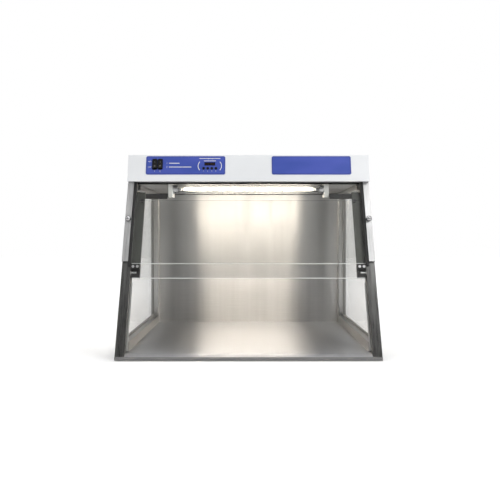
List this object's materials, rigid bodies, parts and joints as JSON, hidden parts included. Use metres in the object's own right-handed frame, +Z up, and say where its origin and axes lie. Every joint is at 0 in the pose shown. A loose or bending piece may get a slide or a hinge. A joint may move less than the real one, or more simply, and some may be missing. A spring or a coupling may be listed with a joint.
{
  "type": "pcr workstation",
  "caption": "Bench cabinet with glass sides, a sloping front, a fold-up lower glass door, a germicidal lamp, a work light, a timer and an air recirculator in its hood.",
  "frame": {"origin": "middle of the footprint, at the underside of the feet", "axes": "+X to the right seen from the front, +Y to the back, +Z up"},
  "size_m": [0.69, 0.535, 0.555],
  "materials": {
    "frame_steel": "brushed along its length, dark satin",
    "chamber_steel": "brushed stainless, satin",
    "cover_steel": "brushed, lighter satin",
    "pan_steel": "satin grey paint",
    "hood_paint": "smooth satin white paint",
    "black_metal": "satin black",
    "support_paint": "matt dark grey",
    "glass": "clear float glass",
    "quartz": "clear lamp glass",
    "rubber": "black rubber",
    "blue_panel": "blue film, slight gloss",
    "black_plastic": "black moulding",
    "display_window": "smoked window",
    "circuit_board": "green board",
    "chrome": "polished",
    "nylon": "natural nylon",
    "white_plastic": "white moulding",
    "cap_metal": "satin lamp caps",
    "opal": "opal light cover",
    "led_board": "white lamp strip",
    "zinc": "zinc-plated sheet",
    "fan_plastic": "black moulding",
    "ballast_paint": "white paint",
    "loom": "black sleeving"
  },
  "bodies": {
    "cabinet": {"base_pan": "pan_steel", "rubber_feet": "rubber", "work_surface": "chamber_steel", "front_post_left": "frame_steel", "front_post_right": "frame_steel", "rear_posts": "frame_steel", "bottom_rail_left": "chamber_steel", "bottom_rail_right": "chamber_steel", "top_rail_left": "chamber_steel", "top_rail_right": "chamber_steel", "header_rail": "black_metal", "rear_wall": "chamber_steel", "rear_cover": "hood_paint", "casing_screws": "chrome", "side_glass_left": "glass", "side_glass_right": "glass", "side_gaskets": "rubber", "ceiling_plate": "chamber_steel", "hood_shell": "hood_paint", "control_panel": "blue_panel", "label_panel": "blue_panel", "switch_frames": "black_plastic", "timer_display": "display_window", "timer_board": "circuit_board", "cover_strip_left": "cover_steel", "cover_strip_right": "cover_steel", "cover_seals": "rubber", "glass_supports": "support_paint", "upper_glass": "glass", "glass_bumpers": "rubber", "pivot_bushes": "nylon", "door_seals": "rubber", "door_switch": "black_plastic", "lamp_arms": "black_metal", "lamp_holders": "white_plastic", "uv_tube": "quartz", "uv_tube_caps": "cap_metal", "light_diffuser": "opal", "led_strip": "led_board", "recirculator_case": "zinc", "air_tube": "quartz", "fan_frame": "fan_plastic", "ballasts": "ballast_paint", "mains_inlet": "black_plastic", "wiring_loom": "loom"},
    "door": {"lower_glass": "glass", "pivot_blocks": "black_metal", "clamp_plates": "black_metal", "clamp_screws": "chrome", "pivot_pins": "chrome"},
    "light_rocker": {"light_switch": "black_plastic"},
    "lamp_rocker": {"lamp_switch": "black_plastic"},
    "button_1": {"timer_button_1": "black_plastic"},
    "button_2": {"timer_button_2": "black_plastic"},
    "button_3": {"timer_button_3": "black_plastic"},
    "button_4": {"timer_button_4": "black_plastic"},
    "fan": {"fan_rotor": "fan_plastic"},
    "knob_left": {"clamp_knob_left": "chrome"},
    "knob_right": {"clamp_knob_right": "chrome"},
    "fuse_tray": {"fuse_drawer": "black_plastic"}
  },
  "joints": [
    {"name": "door_fold", "type": "hinge", "parent": "cabinet", "child": "door", "pos_m": [0, -0.1841, 0.221], "axis": [1, 0, 0], "range_deg": [0, 180]},
    {"name": "light_switch_rock", "type": "hinge", "parent": "cabinet", "child": "light_rocker", "pos_m": [-0.2681, -0.10812, 0.52583], "axis": [1, 0, 0], "range_deg": [0, 16]},
    {"name": "lamp_switch_rock", "type": "hinge", "parent": "cabinet", "child": "lamp_rocker", "pos_m": [-0.2525, -0.10812, 0.52583], "axis": [1, 0, 0], "range_deg": [0, 16]},
    {"name": "timer_button_1_press", "type": "slide", "parent": "cabinet", "child": "button_1", "axis": [0, 0.9776, -0.2106], "range_m": [0, 0.0008], "stiffness_N_per_m": 900},
    {"name": "timer_button_2_press", "type": "slide", "parent": "cabinet", "child": "button_2", "axis": [0, 0.9776, -0.2106], "range_m": [0, 0.0008], "stiffness_N_per_m": 900},
    {"name": "timer_button_3_press", "type": "slide", "parent": "cabinet", "child": "button_3", "axis": [0, 0.9776, -0.2106], "range_m": [0, 0.0008], "stiffness_N_per_m": 900},
    {"name": "timer_button_4_press", "type": "slide", "parent": "cabinet", "child": "button_4", "axis": [0, 0.9776, -0.2106], "range_m": [0, 0.0008], "stiffness_N_per_m": 900},
    {"name": "fan_spin", "type": "hinge", "parent": "cabinet", "child": "fan", "pos_m": [0.15, 0.16, 0.4855], "axis": [0, 0, 1], "continuous": true},
    {"name": "knob_left_turn", "type": "hinge", "parent": "cabinet", "child": "knob_left", "pos_m": [-0.3355, -0.14733, 0.36899], "axis": [0, -0.9443, 0.3292], "range_deg": [0, 540]},
    {"name": "knob_right_turn", "type": "hinge", "parent": "cabinet", "child": "knob_right", "pos_m": [0.3355, -0.14733, 0.36899], "axis": [0, -0.9443, 0.3292], "range_deg": [0, 540]},
    {"name": "fuse_drawer_pull", "type": "slide", "parent": "cabinet", "child": "fuse_tray", "axis": [0, 1, 0], "range_m": [0, 0.012]}
  ]
}
